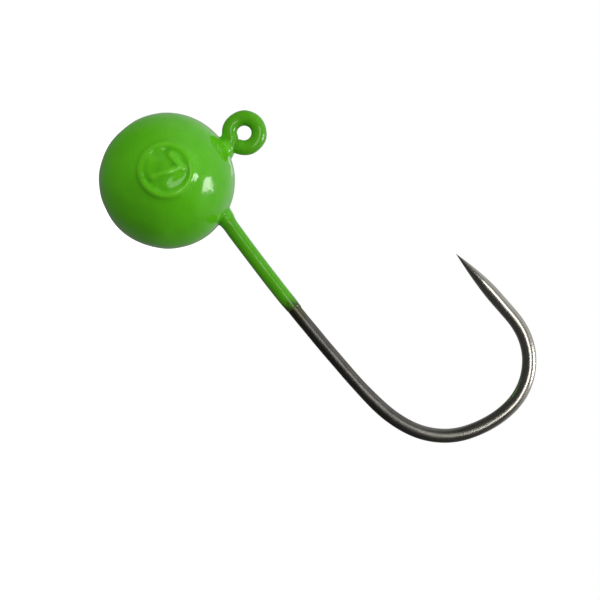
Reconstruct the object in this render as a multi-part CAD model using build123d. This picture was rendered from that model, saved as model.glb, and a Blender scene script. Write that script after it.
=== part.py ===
"""A ball jig head for soft fishing lures: a bent steel hook, a lead ball cast round it and a coat of enamel.

The frame's origin is the centre of the line eye. +X runs along the shank from the nose to the bend, +Z runs
from the ball to the line eye and the point's side, and the hook's wire lies in the XZ plane. Lengths are in
millimetres and angles in degrees.
"""

import os
from math import cos, radians, sin, sqrt, tan

from build123d import *

# ---- driving dimensions ----
WIRE_R = 0.525  # drawn wire, 1.05 mm across
FORGED_R = 0.565  # the bend and spear, widened in the hook's plane by forging
FORGED_HALF = 0.475  # half the thickness left between the two forged flats
COAT = 0.08  # enamel film

RING_R = 1.19  # line eye, to the middle of the wire
RING_START, RING_END = -58.0, 250.0  # where the ring's wire starts and ends, round from +X
NECK_R = 0.60  # the S-turn between ring and stem
EYE_LAND = 0.40  # width of the cylindrical band that the enamel leaves inside the eye

BALL_R = 5.32  # lead, before the enamel
BALL_X, BALL_Z = -0.86, -7.21  # ball's centre below the eye
JIG_BEND_R = 1.50  # the turn from stem to shank, inside the lead
SHANK_EXIT_X, SHANK_EXIT_Z = 4.92, -5.485  # a point of the shank just outside the ball
SHANK_DIP = 2.8  # how far the shank points down where it leaves the ball

BOW_R, BOW_TURN = 166.0, 5.6  # the long shank is slightly bowed
BEND_ARCS = ((9.10, 19.0), (6.05, 41.5), (9.25, 21.5), (5.22, 91.4))  # (radius, turn) round the bend
LEAD_IN_R, LEAD_IN_TURN = 28.3, 6.2  # the easy curve between shank and bend
SPEAR_LENGTH = 2.15  # straight run between bend and point
POINT_LENGTH = 4.70  # ground needle point
POINT_SHOULDER = 0.40  # share of the point's length before the grinding steepens
TIP_R = 0.02

FLAT_START_X, FLAT_FULL_X = 20.6, 23.4  # the forged flats fade in between these
DIE_GAP = 0.05  # the forging dies stand this far off the wire that stays round
COATED_BOW = 8.55  # length of the bow under enamel, from the shank's exit point

GATE_DEPTH = 0.15  # cut-off pouring gate on the nose
GATE_TILT = 4.0  # how far the gate faces below the nose
COLLAR_R, COLLAR_TOP_R, COLLAR_LENGTH = 0.60, 0.55, 0.40  # lead drawn out along the shank
NECK_FOOT_R, NECK_TOP_R, NECK_TOP_Z = 0.80, 0.57, -1.50  # lead drawn up round the stem
COLLAR_ROOT, NECK_ROOT = 1.0, 0.5  # how far each of these cones reaches back into the ball

MARK_X, MARK_Z = -0.10, 0.55  # the weight mark's centre, from the ball's centre
MARK_R, MARK_LINE, MARK_RISE = 2.00, 0.32, 0.14  # ring radius, width of the raised lines, height
DIGIT_W, DIGIT_H, DIGIT_LEAN = 1.50, 2.35, 0.75  # the raised 7 inside the ring, and how far its leg leans
LEG_WIDTH = 0.36  # the leaning leg, measured level

FAR = 20.0  # longer than anything that a cutting tool has to pass through

SIDE = Plane.XZ  # the hook's plane: local x is +X, local y is +Z, and its normal points along -Y
RISING = (Align.CENTER, Align.CENTER, Align.MIN)  # a solid that stands on its plane
BALL = Pos(BALL_X, 0, BALL_Z) * Rot(90, 0, 0)  # turned, so that no pole or seam of a sphere meets the neck


def wire_run(start, heading, moves):
    """Edges in the hook's plane for moves, each ("line", length) or ("arc", radius, turn), and their end."""
    edges, here, way = [], Vector(*start), heading
    for move in moves:
        ahead = Vector(cos(radians(way)), sin(radians(way)))
        if move[0] == "line":
            edge = Line(here, here + ahead * move[1])
        else:
            edge = JernArc(here, ahead, move[1], move[2])
            way += move[2]
        edges.append(edge)
        here = edge @ 1
    return edges, here, way


def tube(edge, radius, end_radius=None):
    """A round wire along one edge of the hook's plane, of one radius or tapering to another."""
    first = Plane(origin=edge @ 0, z_dir=edge % 0) * Circle(radius)
    if end_radius is None:
        return SIDE * sweep(first, path=edge)
    last = Plane(origin=edge @ 1, z_dir=edge % 1) * Circle(end_radius)
    return SIDE * sweep([first, last], path=edge, multisection=True)


def joined(parts):
    """One solid from pieces that meet face to face."""
    whole = parts[0]
    for piece in parts[1:]:
        whole = whole + piece
    return whole


def eye_edges():
    """The ring from the wire's end, the S-turn under it and the stem down into the ball."""
    start = (RING_R * cos(radians(RING_START)), RING_R * sin(radians(RING_START)))
    ring_turn = RING_END - RING_START
    to_stem = -90.0 - (RING_END + 90.0 - 360.0)  # turns the ring's last heading straight down
    edges, here, way = wire_run(
        start, RING_START + 90.0, [("arc", RING_R, ring_turn), ("arc", NECK_R, to_stem)]
    )
    turn = 90.0 - SHANK_DIP
    end_x = here.X + JIG_BEND_R - JIG_BEND_R * sin(radians(SHANK_DIP))
    shank_z = SHANK_EXIT_Z + (SHANK_EXIT_X - end_x) * tan(radians(SHANK_DIP))
    stem_foot = shank_z + JIG_BEND_R * cos(radians(SHANK_DIP))
    stem, foot, way = wire_run((here.X, here.Y), way, [("line", here.Y - stem_foot)])
    bend, _, _ = wire_run((foot.X, foot.Y), way, [("arc", JIG_BEND_R, turn)])
    return edges + stem + bend


def buried_edges():
    """All the wire from the eye's end to the shank's exit point."""
    edges = eye_edges()
    return edges + [Line(edges[-1] @ 1, Vector(SHANK_EXIT_X, SHANK_EXIT_Z))]


def bow_edge(turn=BOW_TURN):
    """The bowed shank, or its first part."""
    edges, _, _ = wire_run((SHANK_EXIT_X, SHANK_EXIT_Z), -SHANK_DIP, [("arc", BOW_R, turn)])
    return edges[0]


def needle_point(base, heading):
    """The ground point: a turned needle whose sides curve in from the wire to the tip."""
    outline = Bezier(
        (0, FORGED_R), (POINT_LENGTH * POINT_SHOULDER, FORGED_R), (POINT_LENGTH, TIP_R)
    )
    sides = [
        Line((0, 0), (0, FORGED_R)),
        outline,
        Line((POINT_LENGTH, TIP_R), (POINT_LENGTH, 0)),
        Line((POINT_LENGTH, 0), (0, 0)),
    ]
    needle = revolve(make_face(sides), axis=Axis.X)
    return SIDE * (Pos(base.X, base.Y, 0) * Rot(0, 0, heading) * needle)


def forging_slab():
    """The space between the forging dies: thick over the shank and point, thin over the bend."""
    left, right = -FAR, 2 * FAR
    loose = FORGED_R + DIE_GAP
    outline = Polyline(
        (left, loose), (FLAT_START_X, loose), (FLAT_FULL_X, FORGED_HALF), (right, FORGED_HALF),
        (right, -FORGED_HALF), (FLAT_FULL_X, -FORGED_HALF), (FLAT_START_X, -loose), (left, -loose),
        close=True,
    )
    return extrude(make_face(outline), amount=2 * FAR, both=True)


def hook():
    """The whole hook as one bent, forged and ground wire."""
    drawn = [tube(edge, WIRE_R) for edge in buried_edges() + [bow_edge()]]
    bow = bow_edge()
    lead_in, here, way = wire_run(
        bow @ 1, BOW_TURN - SHANK_DIP, [("arc", LEAD_IN_R, LEAD_IN_TURN)]
    )
    moves = [("arc", radius, turn) for radius, turn in BEND_ARCS] + [("line", SPEAR_LENGTH)]
    bend, here, way = wire_run(here, way, moves)
    forged = [tube(lead_in[0], WIRE_R, FORGED_R)] + [tube(edge, FORGED_R) for edge in bend]
    forged.append(needle_point(here, way))
    return joined(drawn + [joined(forged) & forging_slab()])


def mark_lines(grow):
    """The raised ring and the digit 7 as flat shapes in the hook's plane, widened by grow."""
    half = MARK_LINE / 2
    ring = Circle(MARK_R + half + grow) - Circle(MARK_R - half - grow)
    right, top = DIGIT_W / 2, DIGIT_H / 2
    foot = right - LEG_WIDTH - DIGIT_LEAN
    under_bar = top - MARK_LINE
    digit = Polygon(
        (foot, -top), (foot + LEG_WIDTH, -top), (right, under_bar), (right, top),
        (-right, top), (-right, under_bar), (right - LEG_WIDTH, under_bar),
        align=None,
    )
    if grow:
        digit = offset(digit, grow, kind=Kind.ARC)
    return ring + digit


def head_skin(grow):
    """The outside of the cast head, grown evenly by grow: ball, gate flat, collar, neck and weight mark."""
    ball = BALL * Sphere(BALL_R + grow)
    raised = BALL * Sphere(BALL_R + MARK_RISE + grow)
    lines = SIDE * Pos(BALL_X + MARK_X, BALL_Z + MARK_Z) * mark_lines(grow)
    ball += extrude(lines, amount=FAR, dir=(0, -1, 0)) & raised

    gate = Plane(
        origin=(BALL_X, 0, BALL_Z), z_dir=(-cos(radians(GATE_TILT)), 0, -sin(radians(GATE_TILT)))
    )
    ball -= gate.offset(BALL_R - GATE_DEPTH + grow) * Box(FAR, FAR, FAR, align=RISING)

    shank_z = SHANK_EXIT_Z - BALL_Z
    collar_x = BALL_X + sqrt(BALL_R**2 - shank_z**2)
    along = Plane(
        origin=(collar_x, 0, SHANK_EXIT_Z + (SHANK_EXIT_X - collar_x) * tan(radians(SHANK_DIP))),
        z_dir=(cos(radians(SHANK_DIP)), 0, -sin(radians(SHANK_DIP))),
    )
    slope = (COLLAR_R - COLLAR_TOP_R) / COLLAR_LENGTH
    collar = along.offset(-COLLAR_ROOT) * Cone(
        COLLAR_R + grow + slope * COLLAR_ROOT,
        COLLAR_TOP_R + grow,
        COLLAR_LENGTH + COLLAR_ROOT,
        align=RISING,
    )
    top_z = BALL_Z + BALL_R
    rise = NECK_TOP_Z - top_z
    neck_slope = (NECK_FOOT_R - NECK_TOP_R) / rise
    neck = Pos(0, 0, top_z - NECK_ROOT) * Cone(
        NECK_FOOT_R + grow + neck_slope * NECK_ROOT,
        NECK_TOP_R + grow,
        rise + NECK_ROOT,
        align=RISING,
    )
    return ball + collar + neck


def lead_head(hook_solid):
    """The cast lead, solid except for the wire inside it."""
    return head_skin(0) - hook_solid


def enamel(hook_solid, lead_solid):
    """One closed film over the head, the eye and the near part of the shank."""
    ring = SIDE * Torus(RING_R, WIRE_R + COAT)
    hole_r = RING_R - WIRE_R - COAT
    land = SIDE * Cylinder(RING_R, EYE_LAND)
    stem = [tube(edge, WIRE_R + COAT) for edge in eye_edges()[1:3]]
    coated_turn = COATED_BOW / BOW_R / radians(1.0)
    shank = [tube(buried_edges()[-1], WIRE_R + COAT), tube(bow_edge(coated_turn), WIRE_R + COAT)]
    outside = joined([head_skin(COAT), ring, land] + stem + shank)
    outside -= SIDE * Cylinder(hole_r, FAR)
    return outside - lead_solid - hook_solid


def main():
    os.makedirs("parts", exist_ok=True)
    hook_solid = hook()
    lead_solid = lead_head(hook_solid)
    nodes = {
        "hook": hook_solid,
        "lead_head": lead_solid,
        "enamel_coat": enamel(hook_solid, lead_solid),
    }
    for name, shape in nodes.items():
        export_step(shape, f"parts/{name}.step")


main()
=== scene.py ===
"""Looks for the ball jig head: a wire hook in black nickel and the green enamel over the lead ball.

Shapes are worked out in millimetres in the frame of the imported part, and scaled to metres when a mesh is
made. The hook's wire lies in the XZ plane, +X runs along the shank to the bend, and the origin is the
centre of the line eye.
"""

from math import cos, pi, radians, sin, sqrt, tan

import bpy
import numpy as np
from mathutils import Matrix, Vector
from mathutils.bvhtree import BVHTree


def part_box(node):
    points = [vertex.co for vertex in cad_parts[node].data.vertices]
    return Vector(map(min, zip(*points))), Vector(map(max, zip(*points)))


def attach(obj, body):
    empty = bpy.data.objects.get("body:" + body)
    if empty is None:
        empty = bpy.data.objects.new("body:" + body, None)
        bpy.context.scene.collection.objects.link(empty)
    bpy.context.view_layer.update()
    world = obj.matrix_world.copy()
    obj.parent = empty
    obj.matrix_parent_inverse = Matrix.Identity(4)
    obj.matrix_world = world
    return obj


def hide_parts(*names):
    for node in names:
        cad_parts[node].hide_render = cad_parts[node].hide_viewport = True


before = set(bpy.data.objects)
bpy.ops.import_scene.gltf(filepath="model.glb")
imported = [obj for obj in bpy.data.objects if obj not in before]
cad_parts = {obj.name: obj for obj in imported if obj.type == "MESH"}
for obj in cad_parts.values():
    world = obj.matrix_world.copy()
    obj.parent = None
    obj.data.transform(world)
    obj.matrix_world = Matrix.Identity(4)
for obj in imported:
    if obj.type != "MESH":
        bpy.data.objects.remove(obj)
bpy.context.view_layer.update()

MM = 0.001

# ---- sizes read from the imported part, in millimetres ----
lead_low, lead_high = (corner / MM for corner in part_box("lead_head"))
film_low, film_high = (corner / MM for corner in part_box("enamel_coat"))
LEAD_R = lead_high.y
FILM = film_high.y - LEAD_R
BALL_R = LEAD_R + FILM
BALL_X, BALL_Z = -0.86, lead_low.z + LEAD_R  # X is given, because the gate flat cuts the box short

# ---- the wire's line and sections, in millimetres and degrees ----
WIRE_R = 0.525
RING_R = film_high.z - FILM - WIRE_R
RING_START, RING_END = -58.0, 250.0
NECK_R, JIG_BEND_R = 0.60, 1.50
EXIT_X, EXIT_Z, DIP = 4.92, -5.485, radians(2.8)
BOW_R, BOW_TURN = 166.0, 5.6
BEND = ((28.3, 6.2), (9.10, 19.0), (6.05, 41.5), (9.25, 21.5), (5.22, 91.4))
SPEAR_LENGTH, POINT_LENGTH, POINT_SHOULDER = 2.15, 4.70, 0.40
FORGED_R, FORGED_HALF = 0.565, 0.475
TIP_R, TIP_DROP = 0.012, 0.10
FORGING_RUN = 3.0  # the forging fades in over this length
BEND_BLEND = 0.55  # each turn beyond the ball runs this far into the next
OUT_OF_ROUND = 0.004  # how unevenly the wire is drawn
STEP = 0.02  # fine step along the wire's line
WIRE_SIDES, RING_SPACING = 48, 0.12  # points round the wire's skin, and the distance between rings
TIP_RINGS = (0.24, 0.16, 0.10, 0.05, 0.02)  # more rings this far from the tip

# ---- the head's relief and the enamel's edges ----
GATE_DEPTH, GATE_TILT = 0.15, radians(4.0)
MARK_X, MARK_Z = BALL_X - 0.10, BALL_Z + 0.55
MARK_R, MARK_RISE = 2.00, 0.14
BAR = ((-0.66, 1.01), (0.66, 1.01))  # the numeral's two strokes, from the mark's centre
LEG = ((0.59, 0.90), (-0.17, -1.12))
MARK_FLAT, MARK_SOFT = 0.07, 0.20  # half the width of a line's top, and how far its sides reach
RUN_OVER = 0.14  # the sides reach this much further where enamel has run over the lines' upper part
RUN_OVER_FROM, RUN_OVER_RUN = 0.9, 1.0  # it starts this far above the mark's centre and grows over this much
OVER_LINES = 1.12  # the enamel's lines against the lead's, in height
LUMPS_PAST_RING, LUMPS_FADE = 0.5, 0.9  # uneven casting ends this far outside the ring, fading over this
MARK_FROM, MARK_FADE = 1.5, 1.5  # it starts this far from the ball's middle towards -Y, and fades in
SEAM_RISE, SEAM_REACH = 0.035, 0.13  # the mould's parting line
GATE_EDGE, END_EDGE = 0.16, 0.05  # how far these edges are rounded off
NECK_FILLET, STEM_FILLET, SHANK_FILLET, BEAD_FILLET = 0.16, 0.22, 0.14, 0.15
NECK_FOOT_Z, NECK_FOOT_RUN = -1.40, 0.60  # below this, over this much, the enamel swells round the stem
NECK_SWELL, NECK_FLARE = 0.05, 0.27
STEM_REACH = 1.0  # the enamelled stem goes this far below the neck, into the ball
COLLAR_SWELL, COLLAR_LUMPS = 0.14, 0.22  # the second is a share of the first
COLLAR_END, COLLAR_RUN = 0.30, 1.1  # where it ends, from the shank's exit point, and how soon it is full
SHANK_START = -BALL_R / 2  # the enamelled shank starts inside the ball
BEADS = (  # x, y, z and radius of drops beside the shank
    (4.08, -1.45, -5.95, 0.20),
    (4.45, -0.55, -5.42, 0.20),
    (3.95, 1.35, -5.95, 0.17),
)
COAT_END = 8.65  # along the shank from its exit point
RAGGED_ONCE, RAGGED_THRICE = 0.16, 0.06  # how far that end wanders, in one and three waves round the wire
THIN_EDGE, THIN_RUN = 0.045, 1.2  # the enamel thins by this much over this last stretch

# ---- how uneven the enamel is: a height and a wavelength for each ripple ----
BALL_UNEVEN = ((0.022, 4.3), (0.008, 1.6))
GATE_UNEVEN, EYE_UNEVEN, SHANK_UNEVEN = (0.012, 1.4), (0.014, 1.5), (0.010, 2.6)
LINES_UNEVEN = (0.06, 2.3)  # the mark's lines; this height is a share of MARK_RISE
CASTING_UNEVEN = (0.048, 1.15)  # inside the mark's ring and just past it

# ---- the enamel's mesh ----
FULL_CELL, QUICK_CELL = 0.115, 0.15
FILM_MARGIN = 0.35  # the grid of cells reaches this far past the coat's box
THINNEST, THICKEST = 0.015, 0.16  # the enamel, between its outside and its inside
METAL_GAP = 0.003  # kept free under the enamel
PAST_COLLAR = 0.5  # along the shank from its exit point: past the lead and the enamel's collar
FULL_COVER = 5.0  # stored where the enamel is nowhere near its end
HOLE_RUN, HOLE_INSET = 0.5, 0.06  # the shank's hole is cut this near the end, this deep in the wire
SETTLING_ROUNDS, SETTLING_PULL, LEAST_SLOPE = 5, 0.6, 0.2
HOLLOW_EVENING_ROUNDS = 6  # how often the hollows are evened out; they set the painted shade in hollows and the painted highlight on ridges

# ---- what the materials need ----
TOWARD_POINT_RUN = (19.5, 31.0)  # along the wire from the ball: the metal goes from darker and rougher to brighter and smoother
OFF_BALL_FROM, OFF_BALL_RUN = 0.15, 0.6  # from the ball's skin: the colour turns to that over steel
FLECK = Vector((BALL_X - 4.98, -1.94, BALL_Z - 0.74)) * MM  # a fleck of dirt in the enamel
FLECK_EDGE = (0.00014, 0.00006)  # in metres from its middle: where it starts, and where it is full
FLOOR_GLOW = (0.45, 1.0)  # painted light: the floor's glow near the part and far from it, rising away so the floor stays white where the lamps fall off
GLOW_MIDDLE, GLOW_REACH = (0.012, 0.0, 0.0), 0.14  # on the floor, in metres


# ---------------------------------------------------------------- helpers for shapes

GOLDEN_ANGLE = 2.4  # in radians: turning by it spreads directions evenly


def smooth_step(value):
    """0 below 0, 1 above 1 and an even S between them."""
    t = np.clip(value, 0, 1)
    return t * t * (3 - 2 * t)


def fillet(a, b, reach):
    """The smaller of two distances, with a fillet where they meet."""
    share = np.clip(0.5 + 0.5 * (b - a) / reach, 0, 1)
    return b + (a - b) * share - reach * share * (1 - share)


def rounded_cut(a, b, reach):
    """The larger of two distances, with the edge between them rounded off."""
    return -fillet(-a, -b, reach)


def ripple(points, wavelength, waves=9):
    """Smooth unevenness of about 1 in size: a sum of waves in directions spread over a sphere."""
    total = np.zeros(len(points))
    for i in range(waves):
        level = 1 - 2 * (i + 0.5) / waves
        turn = GOLDEN_ANGLE * i
        flat = sqrt(1 - level * level)
        way = np.array((flat * cos(turn), flat * sin(turn), level))
        phase = 1.7 * i * i  # so that the waves don't all start together
        total += np.sin(points @ way * (2 * pi / wavelength) + phase)
    return total / sqrt(waves)


def unevenness(points, *sizes):
    """A sum of ripples, each given by its height and wavelength."""
    return sum(height * ripple(points, wavelength) for height, wavelength in sizes)


def segment_distance(x, z, start, end):
    """Distance in a plane from points to a straight stretch."""
    ax, az = start
    bx, bz = end[0] - ax, end[1] - az
    share = np.clip(((x - ax) * bx + (z - az) * bz) / (bx * bx + bz * bz), 0, 1)
    return np.hypot(x - ax - share * bx, z - az - share * bz)


def arc_distance(x, z, centre, radius, start, end):
    """Distance in a plane to an arc that runs anticlockwise from start to end, in radians."""
    dx, dz = x - centre[0], z - centre[1]
    round_arc = np.mod(np.arctan2(dz, dx) - start, 2 * pi)
    to_start = np.hypot(dx - radius * cos(start), dz - radius * sin(start))
    to_end = np.hypot(dx - radius * cos(end), dz - radius * sin(end))
    on_arc = np.abs(np.hypot(dx, dz) - radius)
    return np.where(round_arc <= end - start, on_arc, np.minimum(to_start, to_end))


def mesh_piece(name, points, faces):
    """A smooth-shaded object from points in millimetres and faces given as lists of point numbers."""
    mesh = bpy.data.meshes.new(name)
    mesh.from_pydata((np.asarray(points) * MM).tolist(), [], faces)
    mesh.shade_smooth()
    mesh.update()
    piece = bpy.data.objects.new(name, mesh)
    bpy.context.scene.collection.objects.link(piece)
    return piece


def store(piece, name, kind, values):
    """Keeps one value or vector for each point of a mesh, for its material to read."""
    attribute = piece.data.attributes.new(name, kind, "POINT")
    field = "vector" if kind == "FLOAT_VECTOR" else "value"
    attribute.data.foreach_set(field, np.asarray(values, np.float32).ravel())


# ---------------------------------------------------------------- the hook's wire

ring_end = Vector((cos(radians(RING_END)), sin(radians(RING_END)))) * RING_R
ring_out = radians(RING_END + 90.0 - 360.0)  # heading at the ring's end
neck_centre = ring_end + Vector((sin(ring_out), -cos(ring_out))) * NECK_R
STEM_X = neck_centre.x + NECK_R
jig_bend_x = STEM_X + JIG_BEND_R * (1 - sin(DIP))
jig_bend_z = EXIT_Z + (EXIT_X - jig_bend_x) * tan(DIP)
stem_length = neck_centre.y - jig_bend_z - JIG_BEND_R * cos(DIP)
buried_length = (EXIT_X - jig_bend_x) / cos(DIP)


def wire_line():
    """The wire's middle from the ring's loose end to the tip: points, headings and way from the exit."""
    turned = radians(RING_END - RING_START)
    moves = [
        (RING_R * turned, turned),
        (NECK_R * (ring_out + pi / 2), -ring_out - pi / 2),
        (stem_length, 0.0),
        (JIG_BEND_R * (pi / 2 - DIP), pi / 2 - DIP),
        (buried_length, 0.0),
    ]
    to_exit = sum(length for length, _ in moves)
    moves += [(radius * radians(turn), radians(turn)) for radius, turn in ((BOW_R, BOW_TURN), *BEND)]
    moves.append((SPEAR_LENGTH + POINT_LENGTH, 0.0))
    steps, turns = [], []
    for length, turn in moves:
        count = max(1, round(length / STEP))
        steps += [length / count] * count
        turns += [turn / count] * count
    steps, turns = np.array(steps), np.array(turns)

    # beyond the exit the turns run into each other, as in a bent wire
    spread = BEND_BLEND / STEP
    reach = np.arange(-int(3 * spread), int(3 * spread) + 1)
    weights = np.exp(-0.5 * (reach / spread) ** 2)
    beyond = np.cumsum(steps) > to_exit
    padded = np.pad(turns[beyond], len(reach) // 2, mode="edge")
    turns[beyond] = np.convolve(padded, weights / weights.sum(), mode="valid")

    start = radians(RING_START)
    heading = start + pi / 2 + np.cumsum(turns) - turns / 2
    x = RING_R * cos(start) + np.cumsum(steps * np.cos(heading))
    z = RING_R * sin(start) + np.cumsum(steps * np.sin(heading))
    return x, z, heading + turns / 2, np.cumsum(steps) - to_exit


def needle_radius(share):
    """Radius along the ground point, from its start at 0 to the tip at 1, curving in from the wire."""
    lean = 1 - 2 * POINT_SHOULDER
    t = (np.sqrt(POINT_SHOULDER**2 + lean * share) - POINT_SHOULDER) / lean
    return FORGED_R * (1 - t * t) + TIP_R * t * t


def build_hook():
    """The whole wire as one swept skin: round, forged flatter round the bend, ground to a needle."""
    x, z, heading, along = wire_line()
    total = along[-1]
    keep = np.searchsorted(along, np.arange(along[0], total, RING_SPACING))
    tip_run = np.searchsorted(along, total - np.array(TIP_RINGS))
    keep = np.unique(np.concatenate((keep, tip_run, [len(along) - 1])))
    x, z, heading, along = x[keep], z[keep], heading[keep], along[keep]

    bow_end = BOW_R * radians(BOW_TURN)
    pressed = smooth_step((along - bow_end) / FORGING_RUN)
    point = np.clip((along - total + POINT_LENGTH) / POINT_LENGTH, 0, 1)
    drawn = WIRE_R + (FORGED_R - WIRE_R) * pressed
    width = np.where(point > 0, needle_radius(point), drawn)
    thickness = width + (np.minimum(width, FORGED_HALF) - width) * pressed

    around = np.linspace(0, 2 * pi, WIRE_SIDES, endpoint=False)
    across = width[:, None] * np.cos(around)
    over = thickness[:, None] * np.sin(around)
    unevenly = np.sin(along * 1.9)[:, None] * np.cos(around * 2 + 0.4) * (1 - point)[:, None]
    across = across + OUT_OF_ROUND * unevenly
    drop = TIP_DROP * point**2
    px = x[:, None] - np.sin(heading)[:, None] * across
    pz = z[:, None] + np.cos(heading)[:, None] * across - drop[:, None]
    points = np.stack((px, over, pz), -1).reshape(-1, 3)

    faces = []
    rings = len(along)
    for i in range(rings - 1):
        for j in range(WIRE_SIDES):
            k = (j + 1) % WIRE_SIDES
            here, ahead = i * WIRE_SIDES, (i + 1) * WIRE_SIDES
            faces.append((here + j, ahead + j, ahead + k, here + k))
    faces.append(tuple(range(WIRE_SIDES)))
    faces.append(tuple(reversed(range((rings - 1) * WIRE_SIDES, rings * WIRE_SIDES))))
    piece = mesh_piece("hook_wire", points, faces)
    spots = np.broadcast_arrays(np.cos(around)[None], np.sin(around)[None], along[:, None])
    store(piece, "wire_space", "FLOAT_VECTOR", np.stack(spots, -1).reshape(-1, 3))
    return piece


# ---------------------------------------------------------------- the enamel film

bow_centre = (EXIT_X + BOW_R * sin(DIP), EXIT_Z + BOW_R * cos(DIP))


def shank_place(points):
    """Each point's way along the shank from the exit, distance from the wire's middle, and angle."""
    dx, dz = points[:, 0] - bow_centre[0], bow_centre[1] - points[:, 2]
    out = np.hypot(dx, dz)
    along = BOW_R * (np.arctan2(dx, dz) + DIP)
    side = BOW_R - out
    return along, np.hypot(side, points[:, 1]), np.arctan2(points[:, 1], side)


def mark_rise(points):
    """Height of the worn raised ring and numeral, and of the uneven casting inside the ring."""
    u, w = points[:, 0] - MARK_X, points[:, 2] - MARK_Z
    out = np.hypot(u, w)
    numeral = np.minimum(segment_distance(u, w, *BAR), segment_distance(u, w, *LEG))
    line = np.minimum(np.abs(out - MARK_R), numeral) - MARK_FLAT
    worn = OVER_LINES + unevenness(points, LINES_UNEVEN)
    reach = MARK_SOFT + RUN_OVER * smooth_step((w - RUN_OVER_FROM) / RUN_OVER_RUN)
    on_line = np.exp(-((np.maximum(line, 0) / reach) ** 2))
    inside = smooth_step((MARK_R + LUMPS_PAST_RING - out) / LUMPS_FADE)
    lumps = unevenness(points, CASTING_UNEVEN) * inside * (1 - on_line)
    near_side = smooth_step((-points[:, 1] - MARK_FROM) / MARK_FADE)
    return (MARK_RISE * worn * on_line + lumps) * near_side


def ball_distance(points):
    """Distance to the enamelled ball, with its mark, mould seam and gate flat."""
    rel = points - np.array((BALL_X, 0, BALL_Z))
    seam = SEAM_RISE * np.exp(-((points[:, 1] / SEAM_REACH) ** 2))
    ball = np.linalg.norm(rel, axis=1) - BALL_R - mark_rise(points) - seam - unevenness(points, *BALL_UNEVEN)
    gate = -rel[:, 0] * cos(GATE_TILT) - rel[:, 2] * sin(GATE_TILT) - (BALL_R - GATE_DEPTH)
    return rounded_cut(ball, gate - unevenness(points, GATE_UNEVEN), GATE_EDGE)


def eye_distance(points):
    """Distance to the enamelled ring, its S-turn and the stem, with the loose end almost closed up."""
    x, y, z = points.T
    ring = arc_distance(x, z, (0, 0), RING_R, radians(RING_START), radians(RING_END))
    neck = arc_distance(x, z, neck_centre, NECK_R, 0.0, ring_out + pi / 2)
    stem = segment_distance(x, z, (STEM_X, neck_centre.y), (STEM_X, neck_centre.y - STEM_REACH))
    thick = WIRE_R + FILM + unevenness(points, EYE_UNEVEN)
    foot = thick + NECK_SWELL + NECK_FLARE * smooth_step((NECK_FOOT_Z - z) / NECK_FOOT_RUN)
    ring_tube = np.hypot(ring, y) - thick
    neck_tube = np.hypot(np.minimum(neck, stem), y) - np.where(z < NECK_FOOT_Z, foot, thick)
    return fillet(ring_tube, neck_tube, NECK_FILLET)


def shank_distance(points):
    """Distance to the enamelled shank, with its lumpy collar at the ball and the enamel's ragged end."""
    along, out, around = shank_place(points)
    lumpy = 1 + COLLAR_LUMPS * np.sin(3 * around + 0.6)
    collar = COLLAR_SWELL * smooth_step((COLLAR_END - along) / COLLAR_RUN) * lumpy
    end = COAT_END + RAGGED_ONCE * np.sin(around + 0.8) + RAGGED_THRICE * np.sin(3 * around + 2)
    thinner = THIN_EDGE * smooth_step(1 - (end - along) / THIN_RUN)
    thick = WIRE_R + FILM + collar - thinner + unevenness(points, SHANK_UNEVEN)
    tube = rounded_cut(out - thick, along - end, END_EDGE)
    return np.maximum(tube, SHANK_START - along)


def film_distance(points):
    """Distance to the outside of the enamel: below zero inside it."""
    whole = fillet(ball_distance(points), eye_distance(points), STEM_FILLET)
    whole = fillet(whole, shank_distance(points), SHANK_FILLET)
    for *middle, radius in BEADS:
        bead = np.linalg.norm(points - np.array(middle), axis=1) - radius
        whole = fillet(whole, bead, BEAD_FILLET)
    return whole


def slope(distance, points, step=0.01):
    """The direction in which a distance grows fastest, for each point."""
    grow = np.empty_like(points)
    for axis in range(3):
        shift = np.zeros(3)
        shift[axis] = step
        grow[:, axis] = (distance(points + shift) - distance(points - shift)) / (2 * step)
    return grow


def fill_diagonals(inside):
    """Fills in where inside points meet only at corners, so that the surface never touches itself."""
    found = True
    while found:
        found = False
        for axis in range(3):
            layers = np.moveaxis(inside, axis, 0)
            corners = (layers[:, :-1, :-1], layers[:, 1:, :-1], layers[:, 1:, 1:], layers[:, :-1, 1:])
            first, second, third, fourth = corners
            diagonal = (first == third) & (second == fourth) & (first != second)
            if diagonal.any():
                found = True
                for corner in corners:
                    corner[diagonal] = True


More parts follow.
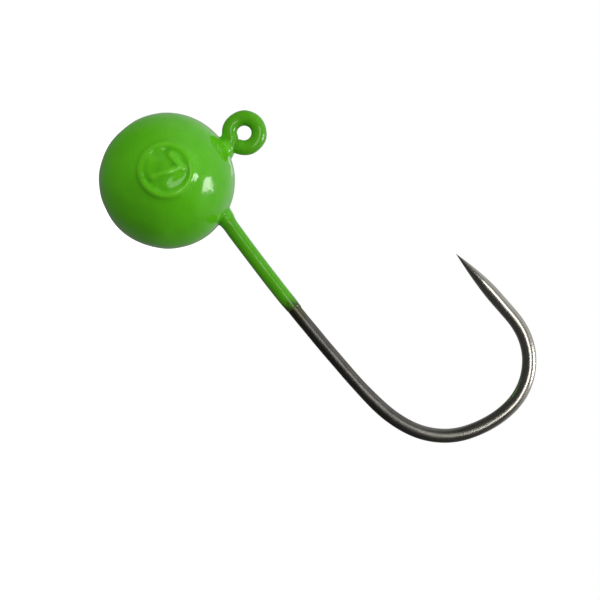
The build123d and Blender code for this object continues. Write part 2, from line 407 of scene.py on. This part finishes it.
def cells_on_surface(distance, low, high, cell):
    """Cell centres that a surface passes through, and the quads that join them, facing outwards."""
    axes = [np.arange(a, b + cell, cell) for a, b in zip(low, high)]
    shape = tuple(len(axis) for axis in axes)
    inside = np.empty(shape, bool)
    for i, x in enumerate(axes[0]):
        y, z = np.meshgrid(axes[1], axes[2], indexing="ij")
        layer = np.stack((np.full(y.size, x), y.ravel(), z.ravel()), -1)
        inside[i] = (distance(layer) < 0).reshape(y.shape)
    fill_diagonals(inside)

    corners = np.zeros(tuple(n - 1 for n in shape), np.int8)
    for i in (0, 1):
        for j in (0, 1):
            for k in (0, 1):
                corners += inside[i : shape[0] - 1 + i, j : shape[1] - 1 + j, k : shape[2] - 1 + k]
    crossed = (corners > 0) & (corners < 8)
    number = np.full(crossed.shape, -1)
    number[crossed] = np.arange(crossed.sum())
    points = np.argwhere(crossed) * cell + np.array([axis[0] for axis in axes]) + cell / 2

    quads = []
    for axis in range(3):
        solid = np.moveaxis(inside, axis, 0)
        cells = np.moveaxis(number, axis, 0)
        near, far = solid[:-1, 1:-1, 1:-1], solid[1:, 1:-1, 1:-1]
        around = (cells[:, :-1, :-1], cells[:, 1:, :-1], cells[:, 1:, 1:], cells[:, :-1, 1:])
        flip = axis == 1  # moving the y axis to the front turns the order of the other two
        for leaves, order in ((near & ~far, (0, 1, 2, 3)), (far & ~near, (3, 2, 1, 0))):
            quad = np.stack([around[i][leaves] for i in order], -1)
            quads.append(quad[:, ::-1] if flip else quad)
    return points, np.concatenate(quads)


def neighbour_mean(points, pairs, count):
    """The middle of each point's neighbours."""
    total = np.empty_like(points)
    for axis in range(3):
        total[:, axis] = np.bincount(pairs[:, 0], points[pairs[:, 1], axis], len(points))
    return total / count


def settle_on(distance, points, quads):
    """Points evened out and brought onto the surface, its direction there, and how hollow it is."""
    pairs = np.concatenate([quads[:, [i, (i + 1) % 4]] for i in range(4)])
    pairs = np.concatenate((pairs, pairs[:, ::-1]))
    count = np.bincount(pairs[:, 0], minlength=len(points))[:, None]
    for turn in range(SETTLING_ROUNDS):
        if turn:
            points = points + SETTLING_PULL * (neighbour_mean(points, pairs, count) - points)
        for _ in range(2):
            away = slope(distance, points)
            size = np.maximum((away**2).sum(1), LEAST_SLOPE)
            points = points - away * (distance(points) / size)[:, None]
    normal = slope(distance, points)
    normal /= np.linalg.norm(normal, axis=1)[:, None]
    hollow = ((neighbour_mean(points, pairs, count) - points) * normal).sum(1)
    for _ in range(HOLLOW_EVENING_ROUNDS):
        hollow = np.bincount(pairs[:, 0], hollow[pairs[:, 1]], len(points)) / count[:, 0]
    return points, normal, hollow


def room_over(metals, points):
    """How far each point is from the nearest of the metal pieces."""
    room = np.full(len(points), np.inf)
    for metal in metals:
        corners = [vertex.co for vertex in metal.data.vertices]
        tree = BVHTree.FromPolygons(corners, [tuple(face.vertices) for face in metal.data.polygons])
        near = [tree.find_nearest(Vector(point))[3] for point in points * MM]
        room = np.minimum(room, np.array(near) / MM)
    return room


def build_film(metals):
    """The enamel as one closed shell: outside, inside against the metals, and the hole for the shank."""
    cell = FULL_CELL
    low = [corner - FILM_MARGIN for corner in film_low]
    high = [corner + FILM_MARGIN for corner in film_high]
    points, quads = cells_on_surface(film_distance, low, high, cell)
    points, normal, hollow = settle_on(film_distance, points, quads)

    along, out, _ = shank_place(points)
    over_wire = (along > COAT_END - HOLE_RUN) & (out < WIRE_R - HOLE_INSET)
    opening = over_wire[quads].all(1)
    outer = quads[~opening]
    inner = outer[:, ::-1] + len(points)
    edges = {(quad[i], quad[(i + 1) % 4]) for quad in quads[opening].tolist() for i in range(4)}
    rim = [(a, b) for a, b in sorted(edges) if (b, a) not in edges]
    walls = [(a, b, b + len(points), a + len(points)) for a, b in rim]
    faces = outer.tolist() + inner.tolist() + walls

    on_shank = along > PAST_COLLAR
    # near its end the enamel's outside dips into the wire, where only the shank's own measure has a sign
    room = np.where(on_shank, out - WIRE_R, room_over(metals, points))
    depth = np.clip(room - METAL_GAP, THINNEST, np.where(on_shank, FILM, THICKEST))
    both = np.concatenate((points, points - normal * depth[:, None]))
    used = np.unique(np.concatenate([np.ravel(outer), np.ravel(inner)]))
    renumber = np.full(len(both), -1)
    renumber[used] = np.arange(len(used))
    faces = [tuple(renumber[list(face)].tolist()) for face in faces]
    piece = mesh_piece("enamel_film", both[used], faces)
    off_ball = np.linalg.norm(points - np.array((BALL_X, 0, BALL_Z)), axis=1) - BALL_R
    looks = {
        # how hollow the enamel is, for the painted shade in hollows and the painted highlight on ridges
        "pooling_and_relief_shade": hollow / cell**2,
        "cover": np.where(on_shank, (COAT_END - along) / THIN_RUN, FULL_COVER),
        "on_wire": smooth_step((off_ball - OFF_BALL_FROM) / OFF_BALL_RUN),
    }
    for name, values in looks.items():
        store(piece, name, "FLOAT", np.concatenate((values, values))[used])
    return piece


# ---------------------------------------------------------------- materials


class Paint:
    """A material's node tree with short calls for adding and joining nodes."""

    def __init__(self, name):
        self.material = bpy.data.materials.new(name)
        self.material.use_nodes = True
        self.nodes = self.material.node_tree.nodes
        self.links = self.material.node_tree.links
        self.shader = self.nodes["Principled BSDF"]

    def add(self, kind, **settings):
        node = self.nodes.new(kind)
        for name, value in settings.items():
            setattr(node, name, value)
        return node

    def join(self, source, target):
        """Feeds a shader's input, given by name, or any other socket."""
        self.links.new(source, self.shader.inputs[target] if isinstance(target, str) else target)

    def fix(self, **values):
        """Sets the shader's constant inputs, each named in small letters with underlines."""
        for socket in self.shader.inputs:
            name = socket.name.lower().replace(" ", "_")
            if name in values:
                socket.default_value = values[name]

    def place(self):
        """Places on the part, in metres."""
        return self.add("ShaderNodeTexCoord").outputs["Object"]

    def value(self, attribute, kind="Fac"):
        """What a mesh stores for each of its points."""
        return self.add("ShaderNodeAttribute", attribute_name=attribute).outputs[kind]

    def vector(self, operation, first, second):
        """A vector sum, product or distance; the second may be fixed."""
        node = self.add("ShaderNodeVectorMath", operation=operation)
        self.join(first, node.inputs[0])
        if isinstance(second, tuple):
            node.inputs[1].default_value = second
        else:
            self.join(second, node.inputs[1])
        return node.outputs["Value" if operation == "DISTANCE" else "Vector"]

    def noise(self, vector, scale, detail=2.0, rough=0.5):
        node = self.add("ShaderNodeTexNoise")
        self.join(vector, node.inputs["Vector"])
        node.inputs["Scale"].default_value = scale
        node.inputs["Detail"].default_value = detail
        node.inputs["Roughness"].default_value = rough
        return node.outputs["Fac"]

    def ramp(self, value, low, high, to_low=0.0, to_high=1.0):
        """A smooth change from one number to another as a value goes from low to high."""
        node = self.add("ShaderNodeMapRange", interpolation_type="SMOOTHSTEP")
        self.join(value, node.inputs["Value"])
        limits = {"From Min": low, "From Max": high, "To Min": to_low, "To Max": to_high}
        for name, number in limits.items():
            node.inputs[name].default_value = number
        return node.outputs["Result"]

    def mix(self, share, first, second):
        """Two colours mixed by a share from 0 to 1; either may be a fixed colour."""
        node = self.add("ShaderNodeMix", data_type="RGBA")
        self.join(share, node.inputs["Factor"])
        for socket, colour in ((node.inputs[6], first), (node.inputs[7], second)):
            if isinstance(colour, tuple):
                socket.default_value = (*colour, 1)
            else:
                self.join(colour, socket)
        return node.outputs[2]

    def maths(self, operation, first, second):
        """A sum or product of two values; either may be a fixed number."""
        node = self.add("ShaderNodeMath", operation=operation)
        for socket, value in zip(node.inputs, (first, second)):
            if isinstance(value, (int, float)):
                socket.default_value = value
            else:
                self.join(value, socket)
        return node.outputs[0]

    def bump(self, height, distance, below=None):
        """Small relief of a height in metres, on top of any relief below it."""
        node = self.add("ShaderNodeBump")
        self.join(height, node.inputs["Height"])
        node.inputs["Distance"].default_value = distance
        if below is not None:
            self.join(below, node.inputs["Normal"])
        return node.outputs["Normal"]


def enamel_material():
    """Bright green gloss enamel: painted shade in hollows, where it also pools, painted highlight on ridges,
    and darker over steel.
    """
    paint = Paint("green_enamel")
    place = paint.place()
    pooling_and_relief_shade, cover = paint.value("pooling_and_relief_shade"), paint.value("cover")

    cloud = paint.noise(place, 240, 3)
    colour = paint.mix(paint.ramp(cloud, 0.3, 0.7), (0.100, 0.520, 0.007), (0.118, 0.575, 0.011))
    # painted shade: darker green in the relief's hollows and creases, deeper where the enamel pools
    colour = paint.mix(paint.ramp(pooling_and_relief_shade, 0.03, 0.5, 0.0, 0.70), colour, (0.052, 0.360, 0.004))
    # painted highlight: paler green on the relief's ridges and bumps
    colour = paint.mix(paint.ramp(pooling_and_relief_shade, -0.05, -0.5, 0.0, 0.65), colour, (0.175, 0.690, 0.020))
    over_steel = paint.ramp(paint.value("on_wire"), 0.0, 1.0, 0.0, 0.75)
    colour = paint.mix(over_steel, colour, (0.085, 0.390, 0.009))
    streaks = paint.noise(paint.vector("MULTIPLY", place, (1.0, 2.5, 2.5)), 700, 3, 0.6)
    edge = paint.maths("ADD", cover, paint.ramp(streaks, 0.3, 0.7, -0.35, 0.35))
    colour = paint.mix(paint.ramp(edge, 1.1, 0.1, 0.0, 0.92), colour, (0.045, 0.060, 0.016))
    from_fleck = paint.vector("DISTANCE", place, tuple(FLECK))
    colour = paint.mix(paint.ramp(from_fleck, *FLECK_EDGE), colour, (0.170, 0.060, 0.020))
    paint.join(colour, "Base Color")

    patches = paint.noise(place, 650, 2)
    paint.join(paint.ramp(patches, 0.3, 0.7, 0.09, 0.17), "Roughness")
    runs = paint.bump(paint.noise(place, 420, 1), 0.00013)
    peel = paint.bump(paint.noise(place, 1700, 1), 0.000012, runs)
    paint.join(peel, "Normal")
    paint.fix(ior=1.5)
    return paint.material


def nickel_material():
    """Black nickel over drawn wire: darker and rougher on the shank, brighter and smoother round the bend
    and point, stained by the enamel.
    """
    paint = Paint("black_nickel")
    wire = paint.value("wire_space", "Vector")
    along = paint.add("ShaderNodeSeparateXYZ")
    paint.join(wire, along.inputs[0])
    toward_point = paint.ramp(along.outputs["Z"], *TOWARD_POINT_RUN)

    drawn = paint.noise(paint.vector("MULTIPLY", wire, (1.0, 1.0, 0.05)), 9.0, 4, 0.65)
    cloud = paint.noise(wire, 0.9, 3)
    dull = paint.mix(paint.ramp(cloud, 0.3, 0.7), (0.185, 0.180, 0.170), (0.260, 0.253, 0.240))
    dull = paint.mix(paint.ramp(drawn, 0.55, 0.75, 0.0, 0.6), dull, (0.350, 0.342, 0.325))
    bright = paint.mix(paint.ramp(cloud, 0.3, 0.7), (0.640, 0.625, 0.570), (0.740, 0.725, 0.660))
    bright = paint.mix(paint.ramp(drawn, 0.50, 0.30, 0.0, 0.4), bright, (0.440, 0.430, 0.395))
    # the metal's colour: darker on the shank, brighter round the bend and point
    metal = paint.mix(toward_point, dull, bright)
    stained = paint.ramp(along.outputs["Z"], COAT_END + 1.6, COAT_END + 0.1, 0.0, 0.6)
    paint.join(paint.mix(stained, metal, (0.190, 0.185, 0.080)), "Base Color")

    finish = paint.ramp(toward_point, 0.0, 1.0, 0.38, 0.24)
    paint.join(paint.maths("ADD", finish, paint.ramp(drawn, 0.3, 0.7, -0.05, 0.06)), "Roughness")
    lines = paint.bump(drawn, 0.0000015)
    pits = paint.bump(paint.noise(wire, 5.0, 2), 0.000001, lines)
    paint.join(pits, "Normal")
    paint.fix(metallic=1.0, specular_tint=(0.45, 0.45, 0.45, 1))
    return paint.material


def lead_material():
    """Dull cast lead alloy with a grainy oxide skin."""
    paint = Paint("cast_lead")
    place = paint.place()
    grain = paint.noise(place, 2200, 4, 0.6)
    cloud = paint.noise(place, 400, 2)
    colour = paint.mix(paint.ramp(cloud, 0.3, 0.7), (0.17, 0.18, 0.20), (0.30, 0.31, 0.33))
    paint.join(colour, "Base Color")
    paint.join(paint.ramp(grain, 0.3, 0.7, 0.5, 0.75), "Roughness")
    paint.join(paint.bump(grain, 0.00004), "Normal")
    paint.fix(metallic=0.85)
    return paint.material


def floor_material():
    """Plain matt pale floor with painted light: it glows, more away from the part, so that it stays white
    where the lamps fall off.
    """
    paint = Paint("pale_floor")
    place = paint.place()
    grain = paint.noise(place, 60, 2)
    paint.join(paint.mix(grain, (0.80, 0.80, 0.80), (0.82, 0.82, 0.82)), "Base Color")
    away = paint.vector("DISTANCE", place, GLOW_MIDDLE)
    # painted light: emission that grows away from the part, standing in for lamp light that falls off
    paint.join(paint.ramp(away, 0.0, GLOW_REACH, *FLOOR_GLOW), "Emission Strength")
    paint.fix(roughness=0.9, emission_color=(1, 1, 1, 1))
    return paint.material


# ---------------------------------------------------------------- the part

hook = build_hook()
hook.data.materials.append(nickel_material())
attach(hook, "root")
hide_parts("hook")

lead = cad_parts["lead_head"]
film = build_film((lead, hook))
film.data.materials.append(enamel_material())
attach(film, "root")
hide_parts("enamel_coat")

lead.data.materials.clear()
lead.data.materials.append(lead_material())

# ---------------------------------------------------------------- floor, light and camera

SHANK_SLANT = radians(51.3)  # the shank's slope in the picture, down to the right
right = Vector((cos(SHANK_SLANT), 0, sin(SHANK_SLANT)))
up = Vector((-sin(SHANK_SLANT), 0, cos(SHANK_SLANT)))
back = Vector((0, -1, 0))
LIGHT_AIM = Vector((0.006, 0, -0.005))
FLOOR_HALF, FLOOR_Z = 3000, -0.045  # in millimetres and metres

floor_corners = np.array(((-1, -1, 0), (1, -1, 0), (1, 1, 0), (-1, 1, 0))) * FLOOR_HALF
floor = mesh_piece("floor", floor_corners, [(0, 1, 2, 3)])
floor.location.z = FLOOR_Z
floor.data.materials.append(floor_material())
floor.visible_glossy = False
floor.visible_diffuse = False


def way_of(parts):
    """A direction given as parts right, up and back of the picture."""
    return (right * parts[0] + up * parts[1] + back * parts[2]).normalized()


def softbox(name, parts, distance, width, height, brightness, colour=(1, 1, 1), reflected=True):
    """A rectangular lamp that faces the part; its height runs up the picture."""
    lamp = bpy.data.lights.new(name, "AREA")
    lamp.shape = "RECTANGLE"
    lamp.size, lamp.size_y = width, height
    lamp.energy = brightness * pi * width * height  # so that brightness is the lamp's radiance
    lamp.color = colour
    holder = bpy.data.objects.new(name, lamp)
    way = way_of(parts)
    side = up.cross(way).normalized()
    holder.matrix_world = Matrix.Translation(LIGHT_AIM + way * distance) @ Matrix(
        (side, way.cross(side), way)
    ).transposed().to_4x4()
    holder.visible_camera = False
    holder.visible_glossy = reflected
    bpy.context.scene.collection.objects.link(holder)


KEY = (0.967, -0.12, 0.217)
WARM = (1.0, 0.985, 0.93)
softbox("key", KEY, 0.30, 0.085, 0.095, 11.0, WARM)
softbox("key_fill", KEY, 0.30, 0.22, 0.22, 1.0, WARM, reflected=False)
softbox("broad", (0.0, 0.766, 0.643), 0.40, 0.30, 0.30, 2.1, reflected=False)
softbox("strip", (0.37, 0.02, 0.93), 0.40, 0.125, 0.27, 2.75, WARM)
softbox("rear_strip", (0.40, 0.30, -0.87), 0.40, 0.06, 0.16, 1.1)
softbox("rear_fill", (-0.3, 0.5, -0.8), 0.45, 0.35, 0.35, 1.6, reflected=False)


def studio():
    """White paper where the camera sees past the part, even light on dull surfaces, and in reflections a
    dark room with pale paper behind and at the right."""
    world = bpy.data.worlds.new("studio")
    bpy.context.scene.world = world
    world.use_nodes = True
    nodes, links = world.node_tree.nodes, world.node_tree.links
    ray = nodes.new("ShaderNodeLightPath")
    heading = nodes.new("ShaderNodeTexCoord").outputs["Generated"]

    def lean(way, low, high, strength):
        """Brightness that grows from 0 as a direction turns towards way."""
        dot = nodes.new("ShaderNodeVectorMath")
        dot.operation = "DOT_PRODUCT"
        links.new(heading, dot.inputs[0])
        dot.inputs[1].default_value = way
        fade = nodes.new("ShaderNodeMapRange")
        fade.interpolation_type = "SMOOTHSTEP"
        links.new(dot.outputs["Value"], fade.inputs["Value"])
        for name, number in zip(("From Min", "From Max", "To Max"), (low, high, strength)):
            fade.inputs[name].default_value = number
        return fade.outputs["Result"]

    def total(first, second):
        node = nodes.new("ShaderNodeMath")
        node.operation = "ADD"
        for socket, value in zip(node.inputs, (first, second)):
            if isinstance(value, float):
                socket.default_value = value
            else:
                links.new(value, socket)
        return node.outputs[0]

    def light(strength):
        node = nodes.new("ShaderNodeBackground")
        node.inputs["Color"].default_value = (1, 1, 1, 1)
        if isinstance(strength, float):
            node.inputs["Strength"].default_value = strength
        else:
            links.new(strength, node.inputs["Strength"])
        return node.outputs[0]

    def choose(share, first, second):
        node = nodes.new("ShaderNodeMixShader")
        for socket, source in zip(node.inputs, (share, first, second)):
            links.new(source, socket)
        return node.outputs[0]

    behind = lean(-back, 0.0, 0.9, 0.12)
    at_right = lean(way_of((0.85, 0.35, -0.40)), 0.0, 0.95, 0.48)
    reflected = light(total(total(0.04, behind), at_right))
    lit = choose(ray.outputs["Is Glossy Ray"], light(0.24), reflected)
    seen = choose(ray.outputs["Is Camera Ray"], lit, light(1.0))
    links.new(seen, nodes["World Output"].inputs["Surface"])


studio()

camera_data = bpy.data.cameras.new("camera")
camera_data.lens = 85
camera_data.clip_start, camera_data.clip_end = 0.005, 10
camera = bpy.data.objects.new("camera", camera_data)
FRAME_WIDTH = 0.048  # what the picture shows across, at the hook
AIM = Vector((0.01322, 0, -0.00488))
stand_off = FRAME_WIDTH * camera_data.lens / camera_data.sensor_width
turn = Matrix((right, up, back)).transposed().to_4x4()
camera.matrix_world = Matrix.Translation(AIM + back * stand_off) @ turn
bpy.context.scene.collection.objects.link(camera)
bpy.context.scene.camera = camera

bpy.context.scene.view_settings.view_transform = "Standard"
